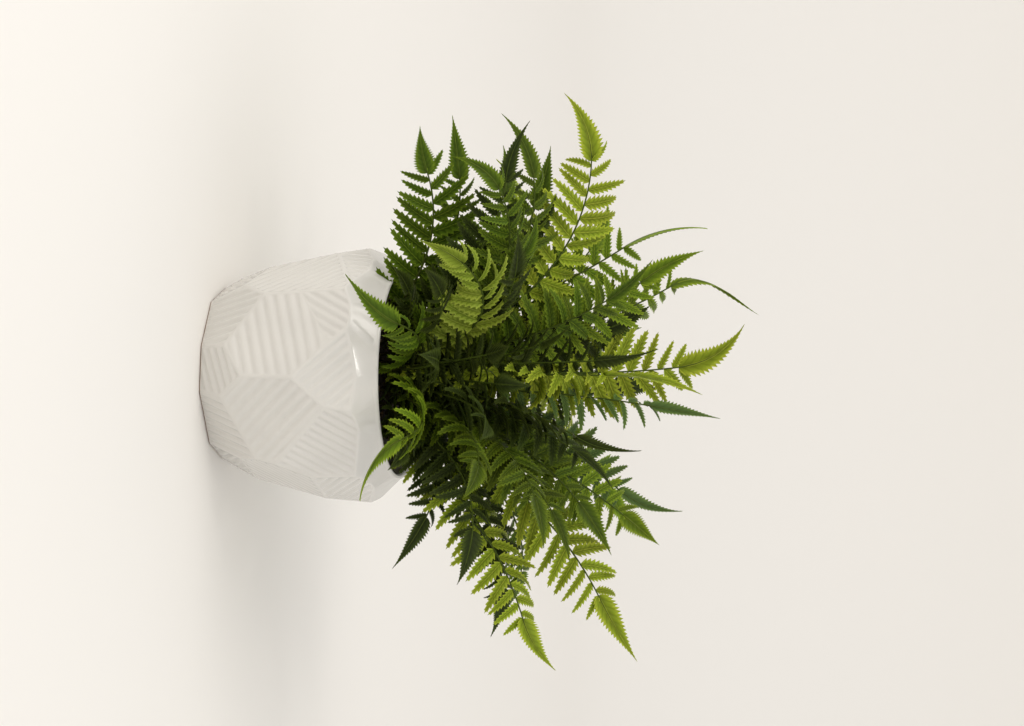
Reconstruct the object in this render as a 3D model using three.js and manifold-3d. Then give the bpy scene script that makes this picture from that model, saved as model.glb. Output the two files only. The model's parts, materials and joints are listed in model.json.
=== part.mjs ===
import * as THREE from 'three';
import { mergeVertices } from 'three/addons/utils/BufferGeometryUtils.js';
import Module from 'manifold-3d';

const wasm = await Module();
wasm.setup();

// Pot: a faceted glazed planter, millimetres, resting on z = 0.
const POT = {
  blankRadius: 80,
  blankSides: 24,
  shoulderTop: 107.4,
  rimHeight: 109,
  rimOuter: 61.4,
  rimInner: 58.4,
  lipFoot: 102,
  lipRound: 1.4,
  lipBevel: 0.4,
  throat: 103,
  floor: 8,
  roundSides: 44,
};

// Facet planes: [azimuth from the front, tilt of the face, distance from the axis foot].
const FOOT_FACETS = [
  [-5, -31.5, 40], [33.5, -31.5, 39.2], [70, -27.3, 42.7], [106, -28, 42.5], [143, -27, 41.5],
  [180, -28, 42], [-144, -27, 42], [-109, -28, 42], [-72, -27.3, 42.7], [-34.5, -27.5, 41.3],
];
const MIDDLE_FACETS = [
  [21.5, -12, 54], [70, -14.5, 52], [107, -12, 53], [148, -11, 53.5],
  [-171, -12, 53], [-131, -13, 52.5], [-93, -12, 53], [-59.5, -8.5, 58.3], [-21, -11.5, 53.6],
];
const UPPER_FACETS = [
  [-1, 7, 79.5], [33, 1, 70.5], [70.5, 2.5, 73.5], [113, -5, 63.5], [150, -4, 64.5],
  [-173, -6, 63], [-136, -4, 64.5], [-100, -5, 63.5], [-64, 3, 75.2], [-21.8, -10.2, 55.6],
];
const SHOULDER_FACETS = [
  [-8, 36.5, 112.6], [6, 40.5, 115.6], [42, 38, 113.7], [84, 39, 114.6], [122, 40, 115.4],
  [161, 39, 114.4], [-160, 40, 115.4], [-122, 39, 114.6], [-84, 40, 115.4], [-46, 40, 115.6],
];

// Wall of the hollow as [radius, height], from its floor to under the lip.
const CAVITY = [[0, POT.floor], [40, POT.floor], [44, 10.5], [52, 30], [58.5, 55], [61.5, 80], [62.5, 94]];

const SOIL = { top: 99.5, edge: 60, shoulder: 46, flat: 20, dome: 1.5, gap: 0.3, sides: 32 };
const CROWN = {
  radius: 30, foot: 26, neck: 24, crest: 12,
  top: 102.5, edge: 100.4, bottom: 90,
  gap: 0.3, sides: 28,
};

// Fronds: stem and leaf proportions shared by all.
const FROND = {
  rootHeight: 97,
  stemBase: 1.1,
  stemSteps: 8,
  pinnaAngle: 62,
  pinnaThick: 1.0,
  leafThick: 1.2,
  leafSwell: 0.17,
  grow: 0.34,
  bend: 1.4,
  swingBend: 1.4,
  rootRing: 6,
  uprightRise: 92,
  rootSpread: 0.5,
  stemPoints: 24,
  leafRoot: 0.975,
  sideSwell: 0.13,
  sideWidest: 0.4,
  endSwell: [0, 1, 0.8, 0.4, 0],
  firstPair: 0.93,
  pairSpacing: 0.16,
  pairSizes: [0.62, 0.9, 1, 0.95],
};

// One row a frond: heading (0 right, 90 back, 180 left, 270 front), rise and fall angles of the
// stem, stem length, swing of the heading, roll of the blade, end leaf length, its curl and its
// swing, length of the longest side leaflets, colour; then, where needed, a shift of the root round
// the crown, how late the stem bends, and a further turn of the end leaf about itself.
const FRONDS = {
  frond_left_bright: [182, 80, 0, 185, 0, -62, 44, -45, 0, 29, 'bright'],
  frond_left_middle: [196, 75, -5, 155, 0, -45, 42, -40, 0, 24, 'deep'],
  frond_left_rising: [205, 60, 10, 135, 0, -60, 40, 30, 0, 24, 'dark'],
  frond_left_curled: [214, 75, -20, 158, 0, -50, 34, -60, 0, 23, 'deep'],
  frond_left_low: [190, 52, -5, 108, 0, -50, 37, 0, 0, 22, 'deep'],
  frond_left_hanging: [200, 45, -15, 106, 0, -62, 28, 20, 0, 31, 'deep'],
  frond_back_left_tall: [160, 72, 54, 156, 0, -65, 52, 45, 0, 27, 'fresh', 0, 1.4, 85],
  frond_left_tall: [172, 88, 50, 164, 0, -70, 42, 25, 0, 25, 'fresh', 0, 1.4, -10],
  frond_back_left_peak: [134, 82, 46, 182, 0, 0, 66, 10, -165, 27, 'fresh', 0, 1.4, 125],
  frond_centre_peak: [50, 89, 80, 176, 90, -26, 48, -50, 60, 30, 'bright', 70, 1.4, -40],
  frond_back_right_blue: [62, 90, 76, 160, -15, -20, 42, 0, 0, 24, 'blue', -45, 1.4, 20],
  frond_right_tall: [30, 80, 42, 155, 0, 50, 42, 55, 0, 26, 'blue', 0, 1.4, -35],
  frond_right_broad: [10, 75, 50, 160, 0, 60, 28, 0, 0, 26, 'fresh', 0, 1.4, 10],
  frond_right_bright: [5, 66, 26, 174, 0, 55, 45, 10, 0, 30, 'bright'],
  frond_right_low: [350, 52, 18, 150, 0, 50, 36, 35, 0, 27, 'bright'],
  frond_right_dark: [345, 62, -25, 80, 0, 45, 36, -10, 0, 22, 'dark'],
  frond_front_right_tall: [312, 86, 50, 132, 0, 30, 42, 50, 0, 22, 'dark', 0, 1.4, 50],
  frond_front_left_slim: [255, 87, 78, 132, 0, -20, 40, -10, -40, 20, 'dark', -25],
  frond_front_upright: [273, 78, 35, 94, 0, 0, 32, 40, 0, 23, 'dark', 5],
  frond_front_bright: [270, 80, 88, 138, 0, 70, 60, -22, 90, 27, 'bright', -6],
  frond_rim_left: [252, 62, -35, 88, 0, -30, 44, 0, -70, 24, 'deep'],
  frond_rim_right: [294, 66, -38, 88, 0, -10, 48, 35, 55, 27, 'fresh'],
  frond_pale_twisted: [236, 78, -30, 140, 0, -70, 30, -30, 0, 28, 'pale'],
  frond_front_left_a: [224, 80, 15, 118, 0, -45, 34, -10, 0, 24, 'dark'],
  frond_front_left_b: [240, 62, 0, 92, 0, -30, 30, -20, 0, 22, 'dark'],
  frond_front_middle: [264, 64, 5, 84, 0, 0, 30, -30, 0, 22, 'dark'],
  frond_front_right_a: [288, 74, 15, 108, 0, 20, 32, -20, 0, 24, 'dark'],
  frond_front_right_b: [303, 72, 5, 112, 0, 35, 34, -20, 0, 24, 'deep'],
  frond_front_right_c: [322, 78, 20, 132, 0, 45, 36, -10, 0, 24, 'deep'],
  frond_right_inner: [335, 66, 0, 108, 0, 55, 34, -20, 0, 24, 'dark'],
  frond_left_inner: [176, 68, 18, 126, 0, -60, 38, -10, 0, 26, 'deep'],
  frond_back_left_a: [163, 58, 5, 116, 0, -50, 34, -20, 0, 24, 'deep'],
  frond_back_left_b: [146, 76, 25, 148, 0, -40, 36, -30, 0, 27, 'fresh'],
  frond_back_left_c: [137, 56, -20, 158, 0, -20, 40, -20, 0, 27, 'bright'],
  frond_back_a: [112, 80, 50, 130, 0, 10, 34, 0, 0, 27, 'deep'],
  frond_back_b: [98, 70, 10, 168, 0, 0, 44, -30, 0, 27, 'fresh'],
  frond_back_c: [115, 50, -25, 140, 0, 0, 38, -20, 0, 25, 'deep'],
  frond_back_d: [76, 64, -5, 165, 0, 0, 42, -30, 0, 27, 'bright'],
  frond_back_e: [88, 46, -25, 122, 0, 0, 36, -20, 0, 23, 'dark'],
  frond_back_right_a: [46, 76, 25, 156, 0, 40, 40, -10, 0, 27, 'fresh'],
  frond_back_right_b: [36, 58, -15, 156, 0, 30, 40, -20, 0, 27, 'deep'],
  frond_back_right_c: [20, 54, -5, 136, 0, 45, 34, -20, 0, 23, 'dark'],
  frond_right_middle: [358, 80, 38, 138, 0, 60, 36, -10, 0, 25, 'deep'],
  frond_inner_left_a: [196, 86, 58, 144, 0, -65, 36, -20, 0, 28, 'deep'],
  frond_inner_left_b: [219, 66, 36, 118, 0, -50, 32, -30, 0, 26, 'deep'],
  frond_inner_left_c: [186, 66, 40, 112, 0, -65, 30, -20, 0, 27, 'dark'],
  frond_inner_left_d: [246, 84, 50, 112, 0, -35, 32, -20, 0, 25, 'dark', 4],
  frond_inner_right_a: [328, 84, 54, 130, 0, 50, 34, -20, 0, 27, 'dark', 6],
  frond_inner_right_b: [297, 83, 42, 116, 0, 30, 32, -20, 0, 25, 'dark', -8],
  frond_inner_right_c: [342, 76, 32, 130, 0, 55, 34, -20, 0, 26, 'deep'],
  frond_inner_right_d: [355, 64, 12, 108, 0, 60, 30, -20, 0, 23, 'dark'],
  frond_inner_back_a: [150, 88, 66, 136, 0, -60, 30, -20, 0, 28, 'dark', -4],
  frond_inner_back_b: [84, 86, 60, 138, 0, -10, 34, -20, 0, 27, 'dark'],
  frond_inner_front: [258, 70, 48, 86, 0, 0, 28, -20, 0, 24, 'dark'],
  frond_low_left: [230, 54, -5, 60, 0, -20, 22, -20, 0, 20, 'dark'],
  frond_low_right: [304, 54, -5, 60, 0, 20, 22, -20, 0, 20, 'dark'],
};

const COLOURS = {
  bright: 0x7fa03c,
  fresh: 0x5c8a35,
  deep: 0x3f6b2e,
  dark: 0x2a4a24,
  blue: 0x4f7d56,
  pale: 0x8fb04e,
};

const AXIS_UP = new THREE.Vector3(0, 0, 1);
const rad = (degrees) => THREE.MathUtils.degToRad(degrees);

function solidOf(geometry) {
  const bare = geometry.index ? geometry.toNonIndexed() : geometry;
  const plain = new THREE.BufferGeometry();
  plain.setAttribute('position', bare.getAttribute('position').clone());
  const merged = mergeVertices(plain, 1e-4);
  return new wasm.Manifold(new wasm.Mesh({
    numProp: 3,
    vertProperties: new Float32Array(merged.getAttribute('position').array),
    triVerts: new Uint32Array(merged.index.array),
  }));
}

function geometryOf(solid) {
  const mesh = solid.getMesh();
  const stride = mesh.numProp;
  const count = mesh.vertProperties.length / stride;
  const points = new Float32Array(count * 3);
  for (let i = 0; i < count; i += 1) {
    for (let k = 0; k < 3; k += 1) points[i * 3 + k] = mesh.vertProperties[i * stride + k];
  }
  const geometry = new THREE.BufferGeometry();
  geometry.setAttribute('position', new THREE.BufferAttribute(points, 3));
  geometry.setIndex(new THREE.BufferAttribute(new Uint32Array(mesh.triVerts), 1));
  return geometry;
}

// Turned solid from [radius, height] pairs, its axis along Z.
function turned(profile, segments) {
  const points = profile.map(([r, z]) => new THREE.Vector2(r, z));
  const geometry = new THREE.LatheGeometry(points, segments);
  geometry.rotateX(Math.PI / 2);
  return solidOf(geometry);
}

// A big block whose inner face is the plane of one facet.
function facetCutter([azimuth, tilt, distance]) {
  const size = POT.blankRadius * 4;
  const block = new THREE.BoxGeometry(size, size, size);
  block.translate(0, -(distance + size / 2), 0);
  block.rotateX(rad(-tilt));
  block.rotateZ(rad(azimuth));
  return solidOf(block);
}

function facetedBlank() {
  const { blankRadius, blankSides, shoulderTop } = POT;
  let body = turned([[0, 0], [blankRadius, 0], [blankRadius, shoulderTop], [0, shoulderTop]], blankSides);
  const facets = [...FOOT_FACETS, ...MIDDLE_FACETS, ...UPPER_FACETS, ...SHOULDER_FACETS];
  for (const facet of facets) body = body.subtract(facetCutter(facet));
  return body;
}

function cavityProfile(inset) {
  const { rimInner, floor, throat } = POT;
  const wall = CAVITY.map(([r, z]) => [Math.max(0, r - (r > 0 ? inset : 0)), z + (z <= floor ? inset : 0)]);
  return [...wall, [rimInner - inset, throat]];
}

function potBody() {
  const { rimInner, rimOuter, rimHeight, lipFoot, lipRound, lipBevel, roundSides } = POT;
  const middle = (rimInner + rimOuter) / 2;
  const above = rimHeight * 2;
  const lip = turned([
    [rimInner, lipFoot], [rimOuter, lipFoot], [rimOuter, rimHeight - lipRound],
    [rimOuter - lipBevel, rimHeight - lipBevel], [middle, rimHeight],
    [rimInner + lipBevel, rimHeight - lipBevel],
    [rimInner, rimHeight - lipRound], [rimInner, lipFoot],
  ], roundSides);
  const hollow = turned([...cavityProfile(0), [rimInner, above], [0, above]], roundSides);
  return facetedBlank().add(lip).subtract(hollow);
}

function soilBody() {
  const { top, edge, shoulder, flat, dome, gap, sides } = SOIL;
  const wall = cavityProfile(gap).filter(([, z]) => z < top - 2);
  return turned([...wall, [edge, top - 1], [shoulder, top], [flat, top + dome], [0, top + dome]], sides);
}

function crownBody(extra) {
  const { radius, foot, neck, crest, top, edge, bottom, sides } = CROWN;
  return turned([
    [0, bottom - extra], [foot + extra, bottom - extra], [radius + extra, edge - 3], [radius + extra, edge],
    [neck + extra, top - 0.6 + extra], [crest, top + extra], [0, top + extra],
  ], sides);
}

// Direction of a stem at t (0 at the crown, 1 at the end leaf).
function stemDirection(frond, t) {
  const pitch = rad(frond.rise + (frond.fall - frond.rise) * t ** frond.bend);
  const heading = rad(frond.heading + frond.swing * t ** FROND.swingBend);
  return new THREE.Vector3(
    Math.cos(pitch) * Math.cos(heading),
    Math.cos(pitch) * Math.sin(heading),
    Math.sin(pitch),
  );
}

function stemPoints(frond) {
  const steps = FROND.stemPoints;
  const angle = rad(frond.heading + frond.shift);
  const at = new THREE.Vector3(
    Math.cos(angle) * frond.start,
    Math.sin(angle) * frond.start,
    FROND.rootHeight,
  );
  const points = [at.clone()];
  for (let i = 0; i < steps; i += 1) {
    at.addScaledVector(stemDirection(frond, (i + 0.5) / steps), frond.length / steps);
    points.push(at.clone());
  }
  return points;
}

function pointAlong(points, t) {
  const x = Math.min(Math.max(t, 0), 1) * (points.length - 1);
  const i = Math.min(Math.floor(x), points.length - 2);
  return points[i].clone().lerp(points[i + 1], x - i);
}

// Across and upward directions of the blade, rolled about the stem.
function bladeFrame(frond, t, forward) {
  const heading = rad(frond.heading + frond.swing * t ** FROND.swingBend);
  const level = new THREE.Vector3(-Math.sin(heading), Math.cos(heading), 0);
  const across = level.addScaledVector(forward, -level.dot(forward)).normalize();
  const up = new THREE.Vector3().crossVectors(forward, across);
  const roll = rad(frond.roll);
  return {
    across: across.clone().multiplyScalar(Math.cos(roll)).addScaledVector(up, Math.sin(roll)),
    up: up.clone().multiplyScalar(Math.cos(roll)).addScaledVector(across, -Math.sin(roll)),
  };
}

function stemBody(frond, points, grow) {
  const half = FROND.stemBase + grow;
  const shape = new THREE.Shape([
    new THREE.Vector2(half, 0), new THREE.Vector2(0, half),
    new THREE.Vector2(-half, 0), new THREE.Vector2(0, -half),
  ]);
  const path = new THREE.CatmullRomCurve3(points);
  const tube = new THREE.ExtrudeGeometry(shape, {
    steps: FROND.stemSteps, bevelEnabled: false, extrudePath: path,
  });
  return solidOf(tube);
}

// A thin leaf as rings of four points along its middle line, closed to a point at each end.
function leafBody(line, widths, thick) {
  const points = [];
  const faces = [];
  const last = line.length - 1;
  points.push(line[0].at);
  for (let i = 1; i < last; i += 1) {
    const { at, across, up } = line[i];
    const wide = widths[i];
    points.push(at.clone().addScaledVector(across, wide));
    points.push(at.clone().addScaledVector(up, thick));
    points.push(at.clone().addScaledVector(across, -wide));
    points.push(at.clone().addScaledVector(up, -thick));
  }
  points.push(line[last].at);
  const ring = (i) => 1 + (i - 1) * 4;
  for (let k = 0; k < 4; k += 1) {
    const n = (k + 1) % 4;
    faces.push(0, ring(1) + n, ring(1) + k);
    for (let i = 1; i < last - 1; i += 1) {
      faces.push(ring(i) + k, ring(i) + n, ring(i + 1) + n);
      faces.push(ring(i) + k, ring(i + 1) + n, ring(i + 1) + k);
    }
    faces.push(points.length - 1, ring(last - 1) + k, ring(last - 1) + n);
  }
  const geometry = new THREE.BufferGeometry();
  geometry.setAttribute('position', new THREE.Float32BufferAttribute(points.flatMap((p) => p.toArray()), 3));
  geometry.setIndex(faces);
  return solidOf(geometry);
}

function endLeaf(frond, points, grow) {
  const steps = FROND.endSwell.length - 1;
  const at = pointAlong(points, FROND.leafRoot);
  const line = [];
  for (let i = 0; i <= steps; i += 1) {
    const t = (i + 0.5) / steps;
    const pitch = rad(frond.fall + frond.curl * t);
    const heading = rad(frond.heading + frond.swing + frond.leafSwing * t);
    const forward = new THREE.Vector3(
      Math.cos(pitch) * Math.cos(heading),
      Math.cos(pitch) * Math.sin(heading),
      Math.sin(pitch),
    );
    const turn = { heading: frond.heading + frond.leafSwing * t, roll: frond.roll + frond.leafTurn };
    const flat = { ...frond, ...turn };
    line.push({ at: at.clone(), ...bladeFrame(flat, 1, forward) });
    at.addScaledVector(forward, frond.leaf / steps);
  }
  const swell = frond.leaf * FROND.leafSwell + grow;
  return leafBody(line, FROND.endSwell.map((part) => swell * part), FROND.leafThick / 2 + grow);
}

function sideLeaf(frond, points, t, side, length, grow) {
  const root = pointAlong(points, t);
  const forward = stemDirection(frond, t);
  const { across, up } = bladeFrame(frond, t, forward);
  const angle = rad(FROND.pinnaAngle);
  const along = forward.clone().multiplyScalar(Math.cos(angle));
  along.addScaledVector(across, side * Math.sin(angle));
  const over = new THREE.Vector3().crossVectors(up, along).normalize();
  const line = [0, FROND.sideWidest, 1].map((u) => ({
    at: root.clone().addScaledVector(along, (length + grow) * u), across: over, up,
  }));
  return leafBody(line, [0, length * FROND.sideSwell + grow, 0], FROND.pinnaThick / 2 + grow);
}

function bladeParts(frond, points, grow) {
  const parts = [endLeaf(frond, points, grow)];
  for (let k = 0; k < FROND.pairSizes.length; k += 1) {
    const t = FROND.firstPair - k * FROND.pairSpacing;
    const size = frond.side * FROND.pairSizes[k];
    for (const side of [-1, 1]) parts.push(sideLeaf(frond, points, t, side, size, grow));
  }
  return parts;
}

function union(parts) {
  return parts.reduce((whole, part) => whole.add(part));
}

// Six times the volume that one triangle of a closed mesh adds.
function tetraVolume(points, a, b, c) {
  const at = (i) => new THREE.Vector3(points[i * 3], points[i * 3 + 1], points[i * 3 + 2]);
  return at(a).dot(at(b).cross(at(c)));
}

// A cut can leave loose scraps, so only the biggest connected body is kept.
function largestPiece(solid) {
  const mesh = solid.getMesh();
  const stride = mesh.numProp;
  const count = mesh.vertProperties.length / stride;
  const points = new Float32Array(count * 3);
  for (let i = 0; i < count; i += 1) {
    for (let k = 0; k < 3; k += 1) points[i * 3 + k] = mesh.vertProperties[i * stride + k];
  }
  const owner = Array.from({ length: count }, (_, i) => i);
  const find = (i) => {
    let at = i;
    while (owner[at] !== at) at = owner[at];
    owner[i] = at;
    return at;
  };
  const triangles = [];
  for (let i = 0; i < mesh.triVerts.length; i += 3) {
    const [a, b, c] = mesh.triVerts.slice(i, i + 3);
    triangles.push([a, b, c]);
    owner[find(b)] = find(a);
    owner[find(c)] = find(a);
  }
  const volumes = new Map();
  for (const [a, b, c] of triangles) {
    const body = find(a);
    volumes.set(body, (volumes.get(body) ?? 0) + tetraVolume(points, a, b, c));
  }
  const best = [...volumes.entries()].reduce((most, next) => (next[1] > most[1] ? next : most))[0];
  const geometry = new THREE.BufferGeometry();
  geometry.setAttribute('position', new THREE.BufferAttribute(points, 3));
  geometry.setIndex(triangles.filter(([a]) => find(a) === best).flat());
  return solidOf(geometry);
}

function readFrond(row) {
  const [heading, rise, fall, length, swing, roll, leaf, curl, leafSwing, side, colour] = row;
  const [shift = 0, bend = FROND.bend, leafTurn = 0] = row.slice(11);
  const start = FROND.rootRing + Math.max(0, FROND.uprightRise - rise) * FROND.rootSpread;
  return {
    heading, rise, fall, length, swing, roll, leaf, curl, leafSwing, side, colour,
    shift, bend, leafTurn, start,
  };
}

function material(name, colour, roughness) {
  const made = new THREE.MeshStandardMaterial({ color: colour, roughness, metalness: 0 });
  made.name = name;
  return made;
}

function piece(name, solid, look) {
  const mesh = new THREE.Mesh(geometryOf(solid), look);
  mesh.name = name;
  return mesh;
}

function frondSolids() {
  const rows = Object.entries(FRONDS).map(([name, row]) => {
    const frond = readFrond(row);
    return { name, frond, points: stemPoints(frond) };
  });
  for (const row of rows) {
    row.stem = stemBody(row.frond, row.points, 0);
    row.stemRoom = stemBody(row.frond, row.points, FROND.grow);
  }
  const rooms = [];
  for (const row of rows) {
    let blade = union([row.stem, ...bladeParts(row.frond, row.points, 0)]);
    for (const other of rows) {
      if (other !== row) blade = blade.subtract(other.stemRoom);
    }
    for (const room of rooms) blade = blade.subtract(room);
    row.solid = largestPiece(blade);
    rooms.push(union([row.stemRoom, ...bladeParts(row.frond, row.points, FROND.grow)]));
  }
  return rows;
}

function build() {
  const group = new THREE.Group();
  const rows = frondSolids();
  const stemRooms = union(rows.map((row) => row.stemRoom));
  const pot = potBody();
  const crown = largestPiece(crownBody(0).subtract(stemRooms));
  const soil = largestPiece(soilBody().subtract(crownBody(CROWN.gap)).subtract(stemRooms));
  group.add(piece('pot', pot, material('white_glaze', 0xeceae4, 0.22)));
  group.add(piece('soil', soil, material('potting_soil', 0x3b2c20, 0.95)));
  group.add(piece('crown', crown, material('crown_fibre', 0x4a3a24, 0.9)));
  for (const row of rows) {
    const tone = row.frond.colour;
    group.add(piece(row.name, row.solid, material(`leaf_${tone}`, COLOURS[tone], 0.45)));
  }
  return group;
}

export default build();
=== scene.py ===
import bpy
import json
import math
import random
from mathutils import Matrix, Vector, noise

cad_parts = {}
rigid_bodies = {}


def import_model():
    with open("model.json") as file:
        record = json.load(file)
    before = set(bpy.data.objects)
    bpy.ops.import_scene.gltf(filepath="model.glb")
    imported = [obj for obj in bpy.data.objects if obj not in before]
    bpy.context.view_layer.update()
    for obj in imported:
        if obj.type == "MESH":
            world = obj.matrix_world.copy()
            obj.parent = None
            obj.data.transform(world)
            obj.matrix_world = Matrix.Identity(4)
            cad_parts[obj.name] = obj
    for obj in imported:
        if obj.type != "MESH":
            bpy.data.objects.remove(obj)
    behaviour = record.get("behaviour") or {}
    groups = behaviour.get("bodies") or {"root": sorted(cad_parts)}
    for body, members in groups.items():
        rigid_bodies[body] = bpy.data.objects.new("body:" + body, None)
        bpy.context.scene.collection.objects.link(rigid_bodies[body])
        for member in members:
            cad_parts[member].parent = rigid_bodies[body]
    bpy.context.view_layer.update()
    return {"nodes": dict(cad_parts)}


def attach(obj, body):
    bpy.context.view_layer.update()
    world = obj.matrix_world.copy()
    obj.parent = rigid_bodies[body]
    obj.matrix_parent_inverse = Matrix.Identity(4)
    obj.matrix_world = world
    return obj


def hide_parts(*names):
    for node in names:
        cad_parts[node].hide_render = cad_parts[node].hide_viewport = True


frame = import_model()
mm = 0.001
print("frame loaded:", len(frame["nodes"]), "nodes")


def deselectAll():
    if bpy.context.object and bpy.context.object.mode != "OBJECT":
        bpy.ops.object.mode_set(mode="OBJECT")
    bpy.ops.object.select_all(action="DESELECT")


def activate(piece):
    deselectAll()
    piece.select_set(True)
    bpy.context.view_layer.objects.active = piece


def editMode():
    bpy.ops.object.mode_set(mode="EDIT")


def objectMode():
    bpy.ops.object.mode_set(mode="OBJECT")


def editAll(piece):
    activate(piece)
    editMode()
    bpy.ops.mesh.select_all(action="SELECT")


def clearSelection(piece, kind):
    # leaves the piece in object mode with nothing selected, ready for faces or edges to be picked
    activate(piece)
    editMode()
    bpy.ops.mesh.select_mode(type=kind)
    bpy.ops.mesh.select_all(action="DESELECT")
    objectMode()


def newest(name):
    piece = bpy.context.object
    piece.name = name
    piece.data.name = name
    return piece


def bakePlace(piece):
    activate(piece)
    bpy.ops.object.transform_apply(location=True, rotation=True, scale=True)


def applyModifier(piece, kind, **settings):
    activate(piece)
    modifier = piece.modifiers.new(kind.lower(), kind)
    for key, value in settings.items():
        setattr(modifier, key, value)
    bpy.ops.object.modifier_apply(modifier=modifier.name)


def joinAll(pieces, name):
    deselectAll()
    for piece in pieces:
        piece.select_set(True)
    bpy.context.view_layer.objects.active = pieces[0]
    bpy.ops.object.join()
    return newest(name)


def smoothStep(low, high, value):
    t = min(max((value - low) / (high - low), 0.0), 1.0)
    return t * t * (3 - 2 * t)


def startMaterial(name):
    material = bpy.data.materials.new(name)
    material.use_nodes = True
    nodes = material.node_tree.nodes
    return material, nodes, material.node_tree.links, nodes["Principled BSDF"]


def mathNode(nodes, links, operation, first, second=None, third=None):
    node = nodes.new("ShaderNodeMath")
    node.operation = operation
    for socket, value in zip(node.inputs, (first, second, third)):
        if value is None:
            continue
        if isinstance(value, (int, float)):
            socket.default_value = value
        else:
            links.new(value, socket)
    return node.outputs[0]


def mixColours(nodes, links, factor, first, second):
    node = nodes.new("ShaderNodeMix")
    node.data_type = "RGBA"
    for socket, value in ((node.inputs[0], factor), (node.inputs[6], first), (node.inputs[7], second)):
        if isinstance(value, (int, float)):
            socket.default_value = value
        elif isinstance(value, tuple):
            socket.default_value = (*value, 1)
        else:
            links.new(value, socket)
    return node.outputs[2]


def rampNode(nodes, links, value, low, high):
    node = nodes.new("ShaderNodeMapRange")
    node.interpolation_type = "SMOOTHSTEP"
    node.inputs["From Min"].default_value = low
    node.inputs["From Max"].default_value = high
    links.new(value, node.inputs["Value"])
    return node.outputs["Result"]


def noiseNode(nodes, links, coords, scale, detail=3.0, roughness=0.5):
    node = nodes.new("ShaderNodeTexNoise")
    node.inputs["Scale"].default_value = scale
    node.inputs["Detail"].default_value = detail
    node.inputs["Roughness"].default_value = roughness
    links.new(coords, node.inputs["Vector"])
    return node.outputs["Fac"]


def bumpNode(nodes, links, height, strength, distance, below=None):
    node = nodes.new("ShaderNodeBump")
    node.inputs["Strength"].default_value = strength
    node.inputs["Distance"].default_value = distance
    links.new(height, node.inputs["Height"])
    if below is not None:
        links.new(below, node.inputs["Normal"])
    return node.outputs["Normal"]


glazeLook = {
    "glaze": (0.685, 0.665, 0.625),
    # the next colour is painted shade: the glaze is darkened towards it in the hollows between the ribs
    "grooveShade": (0.612, 0.594, 0.556),
    "clay": (0.30, 0.20, 0.13),
    "footLine": 0.7 * mm,
    "roughness": 0.2, "clayRoughness": 0.85, "coat": 0.35, "coatRoughness": 0.08, "ior": 1.52,
}


def makeGlaze():
    material, nodes, links, shader = startMaterial("whiteGlaze")
    coords = nodes.new("ShaderNodeTexCoord").outputs["Object"]
    cloud = rampNode(nodes, links, noiseNode(nodes, links, coords, 28, 3), 0.35, 0.7)
    body = mixColours(nodes, links, cloud, glazeLook["glaze"], tuple(c * 0.97 for c in glazeLook["glaze"]))
    # painted shade: the glaze darkens in the rib hollows, following the groove mask
    grooveShadeMask = nodes.new("ShaderNodeAttribute")
    grooveShadeMask.attribute_name = "groove"
    body = mixColours(nodes, links, grooveShadeMask.outputs["Fac"], body, glazeLook["grooveShade"])
    height = nodes.new("ShaderNodeSeparateXYZ")
    links.new(coords, height.inputs[0])
    waver = mathNode(nodes, links, "MULTIPLY_ADD", noiseNode(nodes, links, coords, 120, 2),
                     0.6 * mm, -0.3 * mm)
    level = mathNode(nodes, links, "ADD", height.outputs["Z"], waver)
    bare = mathNode(nodes, links, "LESS_THAN", level, glazeLook["footLine"])
    links.new(mixColours(nodes, links, bare, body, glazeLook["clay"]), shader.inputs["Base Color"])
    satin = mathNode(nodes, links, "MULTIPLY_ADD", noiseNode(nodes, links, coords, 60, 4), 0.14,
                     glazeLook["roughness"] - 0.05)
    dull = mathNode(nodes, links, "MULTIPLY", bare, glazeLook["clayRoughness"])
    links.new(mathNode(nodes, links, "MAXIMUM", satin, dull), shader.inputs["Roughness"])
    ripple = noiseNode(nodes, links, coords, 90, 2)
    grain = noiseNode(nodes, links, coords, 900, 2)
    lower = bumpNode(nodes, links, ripple, 0.25, 0.5 * mm)
    links.new(bumpNode(nodes, links, grain, 0.05, 0.1 * mm, lower), shader.inputs["Normal"])
    shader.inputs["Coat Weight"].default_value = glazeLook["coat"]
    shader.inputs["Coat Roughness"].default_value = glazeLook["coatRoughness"]
    shader.inputs["IOR"].default_value = glazeLook["ior"]
    return material


# heart, body and margin colour of each leaf tone; the dark tone, given mostly to fronds inside the plant and
# low at its front, is partly their own dark green and partly painted shade of the plant's interior
leafLooks = {
    "bright": {"heart": (0.078, 0.100, 0.005), "body": (0.18, 0.235, 0.012), "margin": (0.36, 0.40, 0.036)},
    "fresh": {"heart": (0.045, 0.072, 0.004), "body": (0.104, 0.168, 0.008), "margin": (0.25, 0.33, 0.022)},
    "deep": {"heart": (0.026, 0.042, 0.003), "body": (0.058, 0.096, 0.006), "margin": (0.15, 0.21, 0.014)},
    # partly painted shade: this tone darkens the fronds that sit in the shade inside the plant
    "dark": {"heart": (0.011, 0.017, 0.003), "body": (0.026, 0.038, 0.006), "margin": (0.060, 0.083, 0.012)},
    "blue": {"heart": (0.038, 0.068, 0.016), "body": (0.072, 0.122, 0.028), "margin": (0.15, 0.22, 0.048)},
    "pale": {"heart": (0.085, 0.115, 0.008), "body": (0.175, 0.235, 0.020), "margin": (0.31, 0.37, 0.05)},
}
leafFinish = {
    "roughness": 0.4, "gloss": 0.08, "veins": 9.0, "slant": 3.2, "bump": 0.6,
    "veinShade": 0.35, "ribShade": 0.55, "tipEdge": 0.6,
}


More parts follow.
